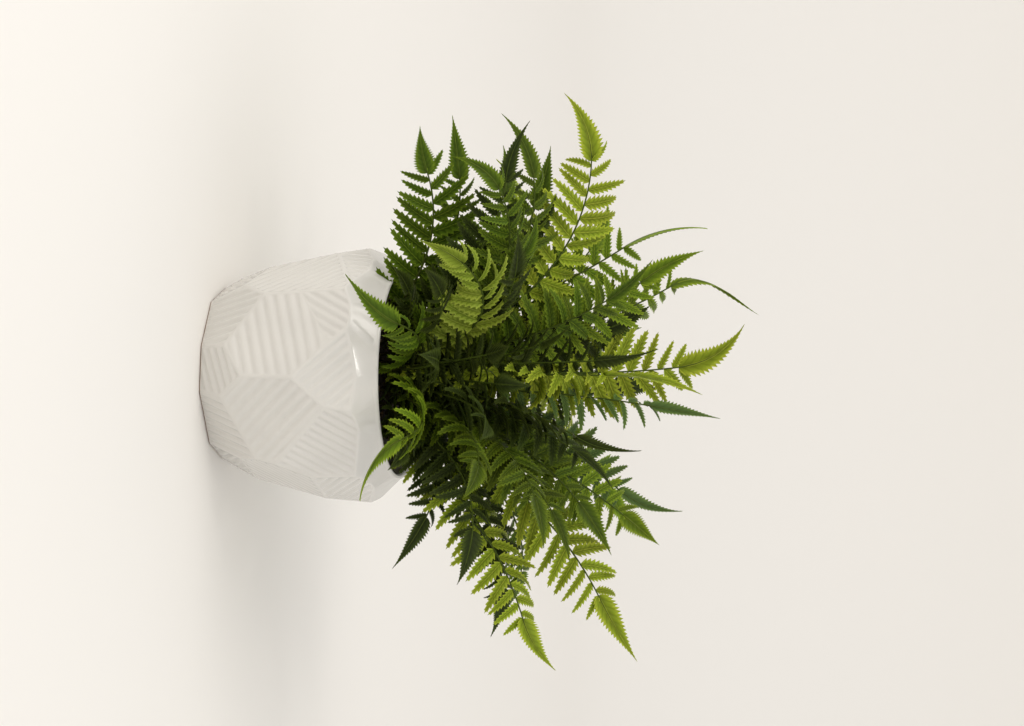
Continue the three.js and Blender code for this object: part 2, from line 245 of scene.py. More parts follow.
def makeLeafMaterial(tone):
    look = leafLooks[tone]
    material, nodes, links, shader = startMaterial("leaf" + tone.capitalize())
    uv = nodes.new("ShaderNodeUVMap")
    uv.uv_map = "leafMap"
    split = nodes.new("ShaderNodeSeparateXYZ")
    links.new(uv.outputs["UV"], split.inputs[0])
    tint = nodes.new("ShaderNodeAttribute")
    tint.attribute_name = "tint"
    coords = nodes.new("ShaderNodeTexCoord").outputs["Object"]
    out = mathNode(nodes, links, "ABSOLUTE", mathNode(nodes, links, "SUBTRACT", split.outputs["X"], 0.5))
    out = mathNode(nodes, links, "MULTIPLY", out, 2.0)  # 0 on the midrib, 1 on the margin
    mottle = noiseNode(nodes, links, coords, 220, 3)
    wave = mathNode(nodes, links, "SUBTRACT",
                    mathNode(nodes, links, "MULTIPLY", split.outputs["Y"], leafFinish["veins"]),
                    mathNode(nodes, links, "MULTIPLY", out, leafFinish["slant"] / 2))
    wave = mathNode(nodes, links, "SINE", mathNode(nodes, links, "MULTIPLY", wave, 2 * math.pi))
    rib = rampNode(nodes, links, out, 0.13, 0.02)
    towardsTip = rampNode(nodes, links, split.outputs["Y"], 0.6, 1.0)
    edge = mathNode(nodes, links, "ADD", rampNode(nodes, links, out, 0.45, 1.0),
                    mathNode(nodes, links, "MULTIPLY", towardsTip, leafFinish["tipEdge"]))
    edge = mathNode(nodes, links, "MULTIPLY", edge, mathNode(nodes, links, "MULTIPLY_ADD", mottle, 1.1, 0.2))
    edge = mathNode(nodes, links, "MINIMUM", edge, 1.0)
    heart = mathNode(nodes, links, "MULTIPLY", rampNode(nodes, links, out, 0.6, 0.1),
                     mathNode(nodes, links, "MULTIPLY_ADD", mottle, 1.2, 0.05))
    heart = mathNode(nodes, links, "MINIMUM", heart, 1.0)
    colour = mixColours(nodes, links, heart, look["body"], look["heart"])
    colour = mixColours(nodes, links, edge, colour, look["margin"])
    crest = rampNode(nodes, links, wave, 0.3, 1.0)
    stripe = mathNode(nodes, links, "MULTIPLY", crest, leafFinish["veinShade"])
    colour = mixColours(nodes, links, stripe, colour, look["heart"])
    midrib = mathNode(nodes, links, "MULTIPLY", rib, leafFinish["ribShade"])
    colour = mixColours(nodes, links, midrib, colour, look["margin"])
    shade = nodes.new("ShaderNodeHueSaturation")
    hue = mathNode(nodes, links, "MULTIPLY_ADD", tint.outputs["Fac"], 0.028, 0.486)
    links.new(hue, shade.inputs["Hue"])
    value = mathNode(nodes, links, "MULTIPLY_ADD", tint.outputs["Fac"], 0.64, 0.74)
    links.new(value, shade.inputs["Value"])
    links.new(colour, shade.inputs["Color"])
    links.new(shade.outputs["Color"], shader.inputs["Base Color"])
    rough = mathNode(nodes, links, "MULTIPLY_ADD", mottle, 0.16, leafFinish["roughness"] - 0.06)
    links.new(rough, shader.inputs["Roughness"])
    height = mathNode(nodes, links, "SUBTRACT", mathNode(nodes, links, "MULTIPLY", wave, 0.35),
                      mathNode(nodes, links, "MULTIPLY", rib, 1.2))
    lower = bumpNode(nodes, links, height, leafFinish["bump"], 0.35 * mm)
    fine = noiseNode(nodes, links, coords, 1500, 2)
    links.new(bumpNode(nodes, links, fine, 0.2, 0.08 * mm, lower), shader.inputs["Normal"])
    shader.inputs["Specular IOR Level"].default_value = leafFinish["gloss"]
    return material


stemLook = {
    "green": (0.055, 0.080, 0.010), "brown": (0.050, 0.030, 0.012),
    "from": 0.100, "to": 0.150, "gloss": 0.1,
}


def makeStemMaterial():
    material, nodes, links, shader = startMaterial("stemSkin")
    coords = nodes.new("ShaderNodeTexCoord").outputs["Object"]
    split = nodes.new("ShaderNodeSeparateXYZ")
    links.new(coords, split.inputs[0])
    spots = noiseNode(nodes, links, coords, 160, 3)
    rise = mathNode(nodes, links, "MULTIPLY_ADD", spots, 30 * mm, split.outputs["Z"])
    colour = mixColours(nodes, links, rampNode(nodes, links, rise, stemLook["from"], stemLook["to"]),
                        stemLook["brown"], stemLook["green"])
    links.new(colour, shader.inputs["Base Color"])
    links.new(mathNode(nodes, links, "MULTIPLY_ADD", spots, 0.2, 0.4), shader.inputs["Roughness"])
    links.new(bumpNode(nodes, links, noiseNode(nodes, links, coords, 1200, 2), 0.3, 0.1 * mm),
              shader.inputs["Normal"])
    shader.inputs["Specular IOR Level"].default_value = stemLook["gloss"]
    return material


def makeEarthMaterial(name, look):
    material, nodes, links, shader = startMaterial(name)
    coords = nodes.new("ShaderNodeTexCoord").outputs["Object"]
    clods = noiseNode(nodes, links, coords, look["scale"], 6, 0.65)
    crumbs = noiseNode(nodes, links, coords, look["scale"] * 5, 4, 0.7)
    colour = mixColours(nodes, links, rampNode(nodes, links, clods, 0.4, 0.7), look["dark"], look["light"])
    colour = mixColours(nodes, links, rampNode(nodes, links, crumbs, 0.55, 0.75), colour,
                        tuple(c * 1.7 for c in look["light"]))
    links.new(colour, shader.inputs["Base Color"])
    links.new(mathNode(nodes, links, "MULTIPLY_ADD", crumbs, 0.2, 0.75), shader.inputs["Roughness"])
    lower = bumpNode(nodes, links, clods, 0.8, 2 * mm)
    links.new(bumpNode(nodes, links, crumbs, 0.7, 0.6 * mm, lower), shader.inputs["Normal"])
    return material


# the pot's measures in mm
potShape = {
    "blankRadius": 80, "shoulderTop": 107.4, "edgeRound": 0.8, "flatAngle": 5,
    "collarSides": 48, "collarTilt": 44, "collarReach": 118.4, "plainTop": 6, "blankSides": 24, "weld": 0.4,
    "lipRadius": 59.9, "lipHalfWidth": 1.55, "lipHalfHeight": 2.6, "lipTop": 109.0,
    "ribSpacing": 5.0, "ribHeight": 1.1, "ribSteps": 6, "crestShape": 0.75, "ribSink": 0.6,
    "margin": 0.35, "fade": 1.3, "shortEdge": 2.0,
}

# facets as [azimuth from the front, tilt, distance from the foot of the axis in mm, rib direction
# and, where it isn't the usual one, rib spacing]; a rib at 0 runs level, at 90 straight up, and a
# positive one climbs to the right; the shoulder facets are plain
footFacets = [
    [-5, -31.5, 40, 24, 5.6], [33.5, -31.5, 39.2, 90], [70, -27.3, 42.7, -30], [106, -28, 42.5, 90],
    [143, -27, 41.5, 20], [180, -28, 42, 90], [-144, -27, 42, -25], [-109, -28, 42, 90],
    [-72, -27.3, 42.7, 30], [-34.5, -27.5, 41.3, 90],
]
middleFacets = [
    [21.5, -12, 54, -46, 5.8], [70, -14.5, 52, 42], [107, -12, 53, -15], [148, -11, 53.5, 52],
    [-171, -12, 53, -45], [-131, -13, 52.5, 18], [-93, -12, 53, 60], [-59.5, -8.5, 58.3, -56],
    [-21, -11.5, 53.6, 17, 6.8],
]
upperFacets = [
    [-1, 7, 79.5, -50], [33, 1, 70.5, 57], [70.5, 2.5, 73.5, -38], [113, -5, 63.5, 62],
    [150, -4, 64.5, 15], [-173, -6, 63, 58], [-136, -4, 64.5, -52], [-100, -5, 63.5, 20],
    [-64, 3, 75.2, 84], [-21.8, -10.2, 55.6, 60],
]
shoulderFacets = [
    [-8, 36.5, 112.6], [6, 40.5, 115.6], [42, 38, 113.7], [84, 39, 114.6], [122, 40, 115.4],
    [161, 39, 114.4], [-160, 40, 115.4], [-122, 39, 114.6], [-84, 40, 115.4], [-46, 40, 115.6],
]
# the inside wall as [height, radius] in mm
hollowRings = [[8, 44], [30, 52], [55, 58.5], [80, 61.5], [94, 62.5], [103, 58.35], [120, 58.35]]


def facetNormal(azimuth, tilt):
    a = math.radians(azimuth)
    t = math.radians(tilt)
    return Vector((math.sin(a) * math.cos(t), -math.cos(a) * math.cos(t), math.sin(t)))


def makeBlank():
    deselectAll()
    top = potShape["shoulderTop"] * mm
    bpy.ops.mesh.primitive_cylinder_add(vertices=potShape["blankSides"], depth=top,
                                        radius=potShape["blankRadius"] * mm, location=(0, 0, top / 2))
    blank = newest("pot_body")
    bakePlace(blank)
    editAll(blank)
    sides = potShape["collarSides"]
    collar = [[k * 360 / sides, potShape["collarTilt"], potShape["collarReach"]] for k in range(sides)]
    for facet in footFacets + middleFacets + upperFacets + shoulderFacets + collar:
        normal = facetNormal(facet[0], facet[1])
        bpy.ops.mesh.select_all(action="SELECT")
        bpy.ops.mesh.bisect(plane_co=normal * facet[2] * mm, plane_no=normal,
                            use_fill=True, clear_outer=True)
    bpy.ops.mesh.select_all(action="SELECT")
    bpy.ops.mesh.remove_doubles(threshold=potShape["weld"] * mm)
    bpy.ops.mesh.normals_make_consistent(inside=False)
    objectMode()
    return blank


def roundEdges(piece):
    top = potShape["shoulderTop"] * mm
    clearSelection(piece, "EDGE")
    facing = {}
    for face in piece.data.polygons:
        for key in face.edge_keys:
            facing.setdefault(key, []).append(face.normal)
    for edge in piece.data.edges:
        ends = [piece.data.vertices[i].co for i in edge.vertices]
        sides = facing[edge.key]
        sharp = sides[0].angle(sides[-1]) > math.radians(potShape["flatAngle"])
        edge.select = sharp and min(e.z for e in ends) < top - potShape["plainTop"] * mm
    editMode()
    bpy.ops.mesh.bevel(offset=potShape["edgeRound"] * mm, segments=2, profile=0.6, clamp_overlap=True)
    bpy.ops.mesh.select_mode(type="VERT")
    objectMode()


def makeLip():
    deselectAll()
    bpy.ops.mesh.primitive_torus_add(major_radius=potShape["lipRadius"] * mm,
                                     minor_radius=potShape["lipHalfWidth"] * mm,
                                     major_segments=96, minor_segments=20)
    lip = newest("lip")
    lip.scale.z = potShape["lipHalfHeight"] / potShape["lipHalfWidth"]
    lip.location.z = (potShape["lipTop"] - potShape["lipHalfHeight"]) * mm
    bakePlace(lip)
    return lip


def makeHollow():
    deselectAll()
    low, high = hollowRings[0][0], hollowRings[-1][0]
    rim = hollowRings[-1][1]
    bpy.ops.mesh.primitive_cylinder_add(vertices=96, radius=rim * mm, depth=(high - low) * mm,
                                        location=(0, 0, (high + low) / 2 * mm))
    hollow = newest("hollow")
    bakePlace(hollow)
    editAll(hollow)
    for height, _ in hollowRings[1:-1]:
        bpy.ops.mesh.select_all(action="SELECT")
        bpy.ops.mesh.bisect(plane_co=(0, 0, height * mm), plane_no=(0, 0, 1))
    objectMode()
    for vertex in hollow.data.vertices:
        for height, radius in hollowRings:
            if abs(vertex.co.z - height * mm) < 0.01 * mm and vertex.co.xy.length > 1 * mm:
                vertex.co.xy *= radius / rim
    return hollow


# how squarely a face looks along a facet's normal, how near it lies (mm), and its least area (m2)
patchTest = {"facing": 0.9999, "reach": 0.02, "area": 20e-6}


def cutPatch(pot, facet):
    # the flat face of one facet comes off as its own mesh, is ribbed, and goes back
    normal = facetNormal(facet[0], facet[1])
    level = facet[2] * mm
    clearSelection(pot, "FACE")
    faces = [f for f in pot.data.polygons if f.normal.dot(normal) > patchTest["facing"]
             and abs(f.center.dot(normal) - level) < patchTest["reach"] * mm and f.area > patchTest["area"]]
    if not faces:
        print("no face for facet", facet)
        return None
    for face in faces:
        face.select = True
    editMode()
    bpy.ops.mesh.separate(type="SELECTED")
    objectMode()
    return [o for o in bpy.context.selected_objects if o != pot][0]


def ribPatch(patch, facet):
    normal = facetNormal(facet[0], facet[1])
    right = Vector((0, 0, 1)).cross(normal).normalized()
    up = normal.cross(right)
    turn = math.radians(facet[3])
    across = up * math.cos(turn) - right * math.sin(turn)
    activate(patch)
    corners = [patch.data.vertices[i].co.copy() for i in patch.data.polygons[0].vertices]
    middle = sum(corners, Vector()) / len(corners)
    walls = []
    for first, second in zip(corners, corners[1:] + corners[:1]):
        if (second - first).length < potShape["shortEdge"] * mm:
            continue
        inward = normal.cross(second - first).normalized()
        walls.append((first, inward if (middle - first).dot(inward) > 0 else -inward))
    spans = [(c - middle).dot(across) for c in corners]
    editAll(patch)
    bpy.ops.mesh.select_mode(type="FACE")
    bpy.ops.mesh.inset(thickness=potShape["margin"] * mm)
    bpy.ops.mesh.inset(thickness=potShape["fade"] * mm)
    bpy.ops.mesh.select_more()
    bpy.ops.mesh.select_mode(type="FACE")
    bpy.ops.mesh.hide(unselected=True)
    spacing = (facet[4] if len(facet) > 4 else potShape["ribSpacing"]) * mm
    step = spacing / potShape["ribSteps"]
    for k in range(math.ceil(min(spans) / step), math.floor(max(spans) / step) + 1):
        bpy.ops.mesh.select_all(action="SELECT")
        bpy.ops.mesh.bisect(plane_co=middle + across * k * step, plane_no=across)
    bpy.ops.mesh.reveal(select=False)
    bpy.ops.mesh.select_mode(type="VERT")
    objectMode()
    margin = potShape["margin"]
    # groove marks the hollows between the ribs, where the glaze gets painted shade
    groove = patch.data.attributes.new("groove", "FLOAT", "POINT")
    for vertex in patch.data.vertices:
        inside = min((vertex.co - start).dot(inward) for start, inward in walls)
        fade = smoothStep(margin * mm, (margin + potShape["fade"]) * mm, inside)
        phase = (vertex.co - middle).dot(across) / spacing
        crest = (0.5 + 0.5 * math.cos(2 * math.pi * phase)) ** potShape["crestShape"]
        vertex.co += normal * (crest - potShape["ribSink"]) * potShape["ribHeight"] * mm * fade
        groove.data[vertex.index].value = (1 - crest) * fade
    return patch


def makePot():
    pot = makeBlank()
    roundEdges(pot)
    applyModifier(pot, "BOOLEAN", operation="UNION", object=makeLip(), solver="EXACT")
    applyModifier(pot, "BOOLEAN", operation="DIFFERENCE", object=makeHollow(), solver="EXACT")
    for helper in ("lip", "hollow"):
        bpy.data.objects.remove(bpy.data.objects[helper])
    pot.data.attributes.new("groove", "FLOAT", "POINT")
    patches = []
    for facet in footFacets + middleFacets + upperFacets:
        patch = cutPatch(pot, facet)
        if patch:
            patches.append(ribPatch(patch, facet))
    pot = joinAll([pot] + patches, "pot_body")
    editAll(pot)
    bpy.ops.mesh.remove_doubles(threshold=0.005 * mm)
    bpy.ops.mesh.normals_make_consistent(inside=False)
    objectMode()
    activate(pot)
    bpy.ops.object.shade_smooth_by_angle(angle=math.radians(50))
    pot.data.materials.clear()
    pot.data.materials.append(makeGlaze())
    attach(pot, "root")
    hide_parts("pot")
    print("pot:", len(pot.data.polygons), "faces")


soilShape = {
    "radius": 60.0, "footRadius": 44, "top": 99.0, "bottom": 9.0, "rings": 26,
    "rough": 1.3, "lumpSize": 9, "dome": 1.6, "rimDip": 0.8,
}
soilLook = {"dark": (0.010, 0.007, 0.005), "light": (0.05, 0.032, 0.018), "scale": 260}


def makeSoil():
    deselectAll()
    depth = soilShape["top"] - soilShape["bottom"]
    bpy.ops.mesh.primitive_cylinder_add(vertices=72, radius=soilShape["radius"] * mm, depth=depth * mm,
                                        location=(0, 0, (soilShape["top"] - depth / 2) * mm))
    soil = newest("soil_bed")
    bakePlace(soil)
    clearSelection(soil, "FACE")
    for face in soil.data.polygons:
        face.select = face.normal.z > 0.9
    editMode()
    for _ in range(soilShape["rings"]):
        bpy.ops.mesh.inset(thickness=soilShape["radius"] * mm / (soilShape["rings"] + 0.6))
    bpy.ops.mesh.select_mode(type="VERT")
    objectMode()
    for vertex in soil.data.vertices:
        r = vertex.co.xy.length / mm
        if vertex.co.z < depth / 2 * mm:
            vertex.co.xy *= soilShape["footRadius"] / soilShape["radius"]
            continue
        lump = noise.fractal(vertex.co / (soilShape["lumpSize"] * mm), 0.9, 2.0, 4) * soilShape["rough"]
        dip = soilShape["rimDip"] if r > soilShape["radius"] - 1 else 0
        vertex.co.z += (lump + soilShape["dome"] * (1 - r / soilShape["radius"]) - dip) * mm
    activate(soil)
    bpy.ops.object.shade_smooth()
    soil.data.materials.append(makeEarthMaterial("pottingMix", soilLook))
    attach(soil, "root")
    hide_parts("soil")


barkShape = {"count": 260, "small": 1.0, "large": 3.4, "long": 1.3, "from": 26, "to": 57, "lean": 0.5}
barkLook = {"dark": (0.06, 0.032, 0.014), "light": (0.20, 0.125, 0.05), "scale": 300}


def makeChip():
    deselectAll()
    bpy.ops.mesh.primitive_cube_add(size=1)
    chip = newest("chip")
    editAll(chip)
    bpy.ops.mesh.bevel(offset=0.22, segments=1)
    objectMode()
    for vertex in chip.data.vertices:
        vertex.co += noise.noise_vector(vertex.co * 2.3) * 0.28
        vertex.co.z *= 0.4
        vertex.co.y *= 0.6
    return chip


def makeBark():
    chip = makeChip()
    earth = makeEarthMaterial("barkChip", barkLook)
    chance = random.Random(7)
    copies = []
    for _ in range(barkShape["count"]):
        radius = math.sqrt(chance.uniform(barkShape["from"] ** 2, barkShape["to"] ** 2))
        angle = chance.uniform(0, 2 * math.pi)
        size = chance.uniform(barkShape["small"], barkShape["large"]) * mm
        height = soilShape["top"] + 1.0 + soilShape["dome"] * (1 - radius / soilShape["radius"])
        spot = Vector((radius * math.cos(angle) * mm, radius * math.sin(angle) * mm, height * mm))
        copy = bpy.data.objects.new("chip", chip.data.copy())
        bpy.context.collection.objects.link(copy)
        turn = Matrix.Rotation(chance.uniform(0, 6.28), 3, "Z")
        lean = Matrix.Rotation(chance.uniform(-barkShape["lean"], barkShape["lean"]), 3, "X")
        copy.data.transform(Matrix.LocRotScale(spot, turn @ lean, (size * barkShape["long"], size, size)))
        copies.append(copy)
    bpy.data.objects.remove(chip)
    bark = joinAll(copies, "bark_chips")
    bark.data.materials.append(earth)
    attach(bark, "root")


crownShape = {"radius": 27.0, "top": 103.0, "bottom": 91.0, "rough": 1.6, "lumpSize": 5}
crownLook = {"dark": (0.02, 0.012, 0.006), "light": (0.09, 0.055, 0.025), "scale": 420}


def makeCrown():
    deselectAll()
    height = crownShape["top"] - crownShape["bottom"]
    bpy.ops.mesh.primitive_uv_sphere_add(segments=56, ring_count=28, radius=crownShape["radius"] * mm,
                                         location=(0, 0, (crownShape["top"] - height / 2) * mm))
    crown = newest("crown_root")
    crown.scale.z = height / 2 / crownShape["radius"]
    bakePlace(crown)
    for vertex in crown.data.vertices:
        lump = noise.fractal(vertex.co / (crownShape["lumpSize"] * mm), 0.9, 2.0, 4) * crownShape["rough"]
        vertex.co += vertex.co.normalized() * lump * mm * 0.6
        vertex.co.z += lump * mm * 0.5
    activate(crown)
    bpy.ops.object.shade_smooth()
    crown.data.materials.append(makeEarthMaterial("crownFibre", crownLook))
    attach(crown, "root")
    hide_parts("crown")


# what all the fronds share: lengths in mm, angles in degrees, droop in radians over a leaflet
frondShape = {
    "rootHeight": 97, "rootRing": 6, "rootSpread": 0.5, "bend": 1.4, "steps": 26,
    "stemBase": 1.0, "stemTip": 0.42, "spacing": 8.6, "firstPair": 2.5, "pairs": 17, "bareStem": 0.1,
    "youngLeaf": 0.5, "usualTip": 44, "slant": 60, "steepest": 78, "droop": 0.7, "leastDroop": 0.08,
    "sickle": 0.1, "level": 0.3, "flapping": 0.35, "uprightRise": 92, "swingShape": 1.4, "tipSteps": 24,
}
# how wide the end leaf of a slender-tipped frond is, beside the others
slimTips = {
    "frond_back_left_peak": 0.5, "frond_back_right_blue": 0.72, "frond_front_right_tall": 0.75,
    "frond_right_tall": 0.8, "frond_front_left_slim": 0.8, "frond_back_left_tall": 0.8,
    "frond_left_tall": 0.85,
    "frond_left_middle": 0.8, "frond_left_rising": 0.75, "frond_left_curled": 0.8, "frond_right_dark": 0.8,
    "frond_inner_left_a": 0.75, "frond_inner_left_b": 0.75, "frond_inner_left_c": 0.75,
    "frond_inner_right_a": 0.75, "frond_inner_right_b": 0.75, "frond_inner_right_c": 0.75,
}
# fronds whose leaflets hang limp: how far their leaflets bend down, and how level their faces turn
limpFronds = {
    "frond_front_bright": (1.9, 0.5), "frond_pale_twisted": (1.8, 0.6), "frond_rim_left": (1.8, 0.5),
    "frond_rim_right": (1.5, 0.6), "frond_left_hanging": (0.2, 0.0), "frond_front_upright": (1.1, 0.5),
    "frond_inner_left_a": (1.2, 0.5), "frond_inner_left_c": (1.1, 0.5), "frond_right_inner": (1.2, 0.5),
}
# each frond as heading (0 right, 90 back, 180 left, 270 front), rise and fall of the stem, its length,
# swing of the heading, roll of the blade, end leaf length, its curl and swing, longest side leaflet,
# tone; then, where needed, a shift of the root round the crown, how late the stem bends, and a further
# turn of the end leaf about itself
fronds = {
    "frond_left_bright": [182, 80, 0, 185, 0, -62, 44, -45, 0, 29, "bright"],
    "frond_left_middle": [196, 75, -5, 155, 0, -45, 42, -40, 0, 24, "deep"],
    "frond_left_rising": [205, 60, 10, 135, 0, -60, 40, 30, 0, 24, "dark"],
    "frond_left_curled": [214, 75, -20, 158, 0, -50, 34, -60, 0, 23, "deep"],
    "frond_left_low": [190, 52, -5, 108, 0, -50, 37, 0, 0, 22, "deep"],
    "frond_left_hanging": [200, 45, -15, 106, 0, -62, 28, 20, 0, 31, "deep"],
    "frond_back_left_tall": [160, 72, 54, 156, 0, -65, 52, 45, 0, 27, "fresh", 0, 1.4, 85],
    "frond_left_tall": [172, 88, 50, 164, 0, -70, 42, 25, 0, 25, "fresh", 0, 1.4, -10],
    "frond_back_left_peak": [134, 82, 46, 182, 0, 0, 66, 10, -165, 27, "fresh", 0, 1.4, 125],
    "frond_centre_peak": [50, 89, 80, 176, 90, -26, 48, -50, 60, 30, "bright", 70, 1.4, -40],
    "frond_back_right_blue": [62, 90, 76, 160, -15, -20, 42, 0, 0, 24, "blue", -45, 1.4, 20],
    "frond_right_tall": [30, 80, 42, 155, 0, 50, 42, 55, 0, 26, "blue", 0, 1.4, -35],
    "frond_right_broad": [10, 75, 50, 160, 0, 60, 28, 0, 0, 26, "fresh", 0, 1.4, 10],
    "frond_right_bright": [5, 66, 26, 174, 0, 55, 45, 10, 0, 30, "bright"],
    "frond_right_low": [350, 52, 18, 150, 0, 50, 36, 35, 0, 27, "bright"],
    "frond_right_dark": [345, 62, -25, 80, 0, 45, 36, -10, 0, 22, "dark"],
    "frond_front_right_tall": [312, 86, 50, 132, 0, 30, 42, 50, 0, 22, "dark", 0, 1.4, 50],
    "frond_front_left_slim": [255, 87, 78, 132, 0, -20, 40, -10, -40, 20, "dark", -25],
    "frond_front_upright": [273, 78, 35, 94, 0, 0, 32, 40, 0, 23, "dark", 5],
    "frond_front_bright": [270, 80, 88, 138, 0, 70, 60, -22, 90, 27, "bright", -6],
    "frond_rim_left": [252, 62, -35, 88, 0, -30, 44, 0, -70, 24, "deep"],
    "frond_rim_right": [294, 66, -38, 88, 0, -10, 48, 35, 55, 27, "fresh"],
    "frond_pale_twisted": [236, 78, -30, 140, 0, -70, 30, -30, 0, 28, "pale"],
    "frond_front_left_a": [224, 80, 15, 118, 0, -45, 34, -10, 0, 24, "dark"],
    "frond_front_left_b": [240, 62, 0, 92, 0, -30, 30, -20, 0, 22, "dark"],
    "frond_front_middle": [264, 64, 5, 84, 0, 0, 30, -30, 0, 22, "dark"],
    "frond_front_right_a": [288, 74, 15, 108, 0, 20, 32, -20, 0, 24, "dark"],
    "frond_front_right_b": [303, 72, 5, 112, 0, 35, 34, -20, 0, 24, "deep"],
    "frond_front_right_c": [322, 78, 20, 132, 0, 45, 36, -10, 0, 24, "deep"],
    "frond_right_inner": [335, 66, 0, 108, 0, 55, 34, -20, 0, 24, "dark"],
    "frond_left_inner": [176, 68, 18, 126, 0, -60, 38, -10, 0, 26, "deep"],
    "frond_back_left_a": [163, 58, 5, 116, 0, -50, 34, -20, 0, 24, "deep"],
    "frond_back_left_b": [146, 76, 25, 148, 0, -40, 36, -30, 0, 27, "fresh"],
    "frond_back_left_c": [137, 56, -20, 158, 0, -20, 40, -20, 0, 27, "bright"],
    "frond_back_a": [112, 80, 50, 130, 0, 10, 34, 0, 0, 27, "deep"],
    "frond_back_b": [98, 70, 10, 168, 0, 0, 44, -30, 0, 27, "fresh"],
    "frond_back_c": [115, 50, -25, 140, 0, 0, 38, -20, 0, 25, "deep"],
    "frond_back_d": [76, 64, -5, 165, 0, 0, 42, -30, 0, 27, "bright"],
    "frond_back_e": [88, 46, -25, 122, 0, 0, 36, -20, 0, 23, "dark"],
    "frond_back_right_a": [46, 76, 25, 156, 0, 40, 40, -10, 0, 27, "fresh"],
    "frond_back_right_b": [36, 58, -15, 156, 0, 30, 40, -20, 0, 27, "deep"],
    "frond_back_right_c": [20, 54, -5, 136, 0, 45, 34, -20, 0, 23, "dark"],
    "frond_right_middle": [358, 80, 38, 138, 0, 60, 36, -10, 0, 25, "deep"],
    # the inner fronds mostly take the dark tone, partly as painted shade of the plant's interior
    "frond_inner_left_a": [196, 86, 58, 144, 0, -65, 36, -20, 0, 28, "deep"],
    "frond_inner_left_b": [219, 66, 36, 118, 0, -50, 32, -30, 0, 26, "deep"],
    "frond_inner_left_c": [186, 66, 40, 112, 0, -65, 30, -20, 0, 27, "dark"],
    "frond_inner_left_d": [246, 84, 50, 112, 0, -35, 32, -20, 0, 25, "dark", 4],
    "frond_inner_right_a": [328, 84, 54, 130, 0, 50, 34, -20, 0, 27, "dark", 6],
    "frond_inner_right_b": [297, 83, 42, 116, 0, 30, 32, -20, 0, 25, "dark", -8],
    "frond_inner_right_c": [342, 76, 32, 130, 0, 55, 34, -20, 0, 26, "deep"],
    "frond_inner_right_d": [355, 64, 12, 108, 0, 60, 30, -20, 0, 23, "dark"],
    "frond_inner_back_a": [150, 88, 66, 136, 0, -60, 30, -20, 0, 28, "dark", -4],
    "frond_inner_back_b": [84, 86, 60, 138, 0, -10, 34, -20, 0, 27, "dark"],
    "frond_inner_front": [258, 70, 48, 86, 0, 0, 28, -20, 0, 24, "dark"],
    "frond_low_left": [230, 54, -5, 60, 0, -20, 22, -20, 0, 20, "dark"],
    "frond_low_right": [304, 54, -5, 60, 0, 20, 22, -20, 0, 20, "dark"],
}


frondKeys = (
    "heading", "rise", "fall", "length", "swing", "roll", "leaf", "curl", "leafSwing", "side", "tone",
    "shift", "bend", "leafTurn",
)


def frondValues(row):
    frond = {"shift": 0, "bend": frondShape["bend"], "leafTurn": 0}
    frond.update(zip(frondKeys, row))
    lean = max(0, frondShape["uprightRise"] - frond["rise"])
    frond["start"] = frondShape["rootRing"] + lean * frondShape["rootSpread"]
    return frond


def pointing(heading, pitch):
    h = math.radians(heading)
    p = math.radians(pitch)
    return Vector((math.cos(p) * math.cos(h), math.cos(p) * math.sin(h), math.sin(p)))


def headingAt(frond, t):
    return frond["heading"] + frond["swing"] * t ** frondShape["swingShape"]


def stemDirection(frond, t):
    return pointing(headingAt(frond, t),
                    frond["rise"] + (frond["fall"] - frond["rise"]) * t ** frond["bend"])


def stemPath(frond):
    steps = frondShape["steps"]
    spot = pointing(frond["heading"] + frond["shift"], 0) * frond["start"]
    spot.z = frondShape["rootHeight"]
    path = [spot.copy()]
    for i in range(steps):
        spot += stemDirection(frond, (i + 0.5) / steps) * frond["length"] / steps
        path.append(spot.copy())
    return path


def pointAlong(path, t):
    x = min(max(t, 0), 1) * (len(path) - 1)
    i = min(int(x), len(path) - 2)
    return path[i].lerp(path[i + 1], x - i)


def turned(first, second, angle):
    c, s = math.cos(angle), math.sin(angle)
    return first * c + second * s, second * c - first * s


def bladeFrame(heading, roll, forward):
    h = math.radians(heading)
    level = Vector((-math.sin(h), math.cos(h), 0))
    across = (level - forward * level.dot(forward)).normalized()
    up = forward.cross(across)
    return turned(across, up, math.radians(roll))


leafTooth = {"reach": 1.12, "lean": 0.8, "notchLean": -0.15, "trough": 0.25, "inner": 0.55, "weld": 0.0005}


def leafBlank(name, rows, columns, halfWidth, notch, thickness):
    # a serrated leaf one unit long: teeth lean towards its tip, and its two skins meet at the margin
    deselectAll()
    bpy.ops.mesh.primitive_grid_add(x_subdivisions=columns, y_subdivisions=rows, size=1,
                                    location=(0, 0.5, 0))
    leaf = newest(name)
    bakePlace(leaf)
    leaf.data.uv_layers[0].name = "leafMap"
    for vertex in leaf.data.vertices:
        row = round(vertex.co.y * rows)
        out = vertex.co.x * 2
        width = halfWidth(row / rows)
        if abs(out) > 0.99 and 0 < row < rows:
            tooth = row % 2 == 0
            vertex.co.y += leafTooth["lean" if tooth else "notchLean"] / rows
            width *= leafTooth["reach"] if tooth else 1 - notch
        vertex.co.x = out * width
        vertex.co.z = abs(out) * width * leafTooth["trough"]
    editAll(leaf)
    bpy.ops.mesh.duplicate()
    bpy.ops.mesh.flip_normals()
    objectMode()
    for vertex in leaf.data.vertices:
        bare = vertex.co.y < 0.001 or vertex.co.y > 0.999
        inner = abs(vertex.co.x) < halfWidth(vertex.co.y) * leafTooth["inner"]
        if vertex.select and inner and not bare:
            vertex.co.z -= thickness
    editAll(leaf)
    bpy.ops.mesh.remove_doubles(threshold=leafTooth["weld"])
    bpy.ops.mesh.normals_make_consistent(inside=False)
    objectMode()
    activate(leaf)
    bpy.ops.object.shade_smooth_by_angle(angle=math.radians(70))
    leaf.data.attributes.new("tint", "FLOAT", "POINT")
    return leaf


